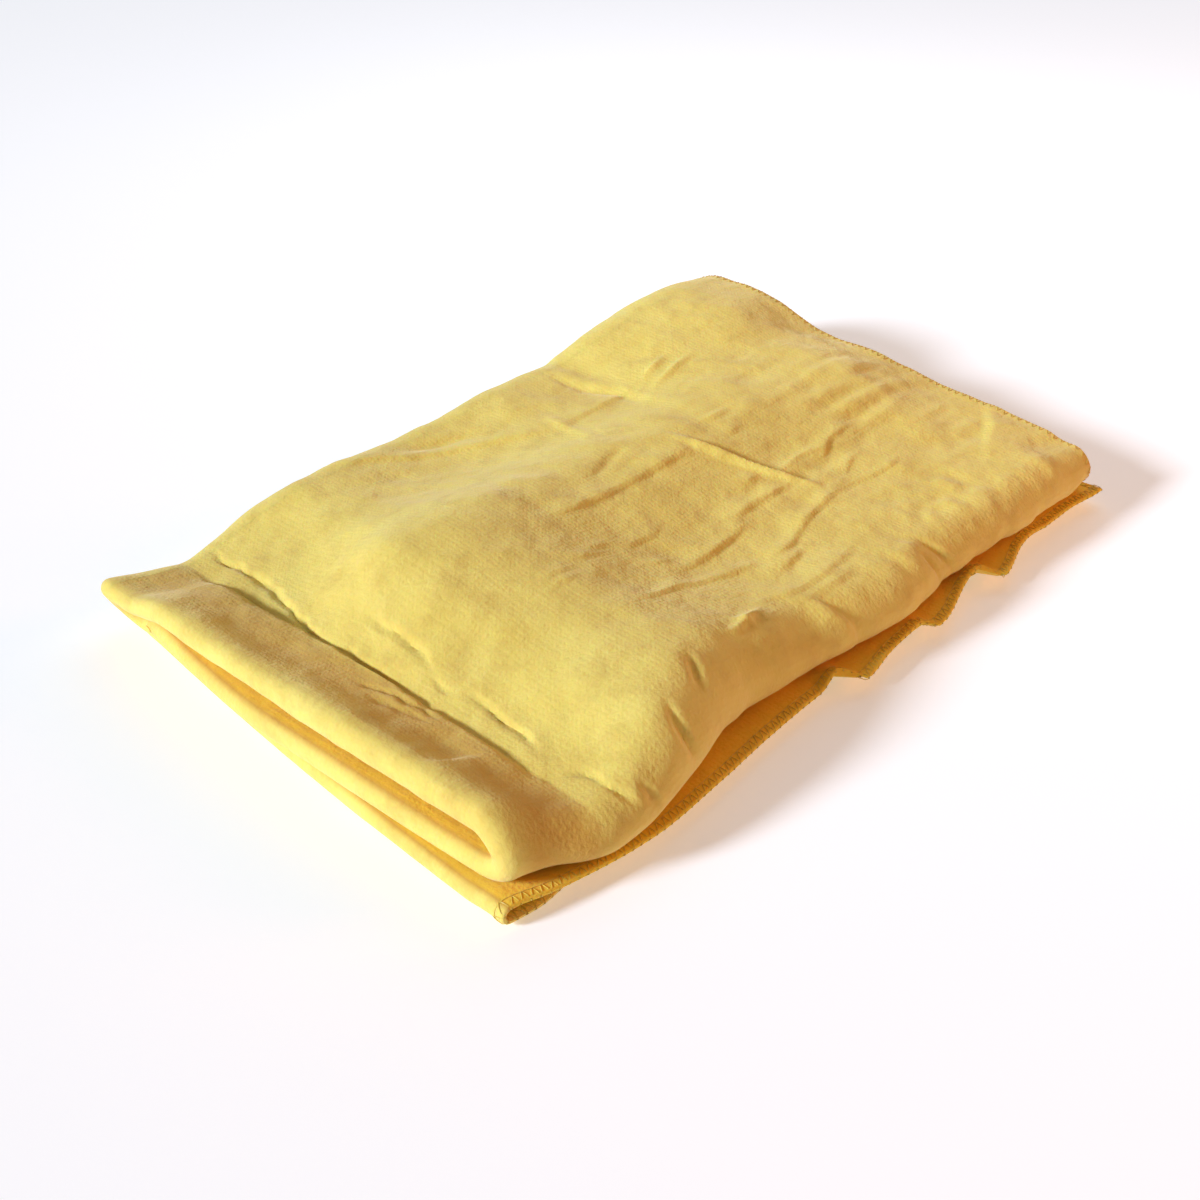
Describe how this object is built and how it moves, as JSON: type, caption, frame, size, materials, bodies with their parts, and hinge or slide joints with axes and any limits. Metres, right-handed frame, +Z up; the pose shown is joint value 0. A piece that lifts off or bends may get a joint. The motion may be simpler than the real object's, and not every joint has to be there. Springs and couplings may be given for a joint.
{
  "type": "synthetic chamois cloth",
  "caption": "Soft yellow chamois cloth doubled end to end and rolled up in thirds, with overlocked cut edges; the top third lifts open on its side fold and carries the tucked third.",
  "frame": {"origin": "middle of the folded pack on the surface it lies on", "axes": "+X from the smooth near fold along the long side to the far cut edges, +Y from the side with the open cut edge to the side of the hidden fold, +Z up"},
  "size_m": [0.2612, 0.1736, 0.0382],
  "materials": {
    "cloth": "soft matt nap",
    "thread": "satin thread"
  },
  "bodies": {
    "bottom": {"bottom_panel": "cloth", "bottom_side_stitching": "thread", "bottom_end_stitching_outer": "thread", "bottom_end_stitching_inner": "thread", "left_fold": "cloth", "left_fold_stitching_outer": "thread", "left_fold_stitching_inner": "thread"},
    "top": {"top_panel": "cloth", "top_end_stitching_outer": "thread", "top_end_stitching_inner": "thread", "right_fold": "cloth", "right_fold_stitching_outer": "thread", "right_fold_stitching_inner": "thread"},
    "tuck": {"tucked_panel": "cloth", "tucked_side_stitching": "thread", "tucked_end_stitching_outer": "thread", "tucked_end_stitching_inner": "thread"}
  },
  "joints": [
    {"name": "left_fold_open", "type": "hinge", "parent": "bottom", "child": "top", "pos_m": [0, 0.0869, 0.0132], "axis": [-0.999, -0.0199, -0.039], "range_deg": [0, 150], "deforming": ["left_fold", "left_fold_stitching_outer", "left_fold_stitching_inner"]},
    {"name": "right_fold_open", "type": "hinge", "parent": "top", "child": "tuck", "pos_m": [0, -0.0728, 0.0148], "axis": [-1, 0, 0], "range_deg": [0, 20], "deforming": ["right_fold", "right_fold_stitching_outer", "right_fold_stitching_inner"]}
  ],
  "couplings": [
    {"joint": "right_fold_open", "follows": "left_fold_open", "ratio": 0.12}
  ]
}
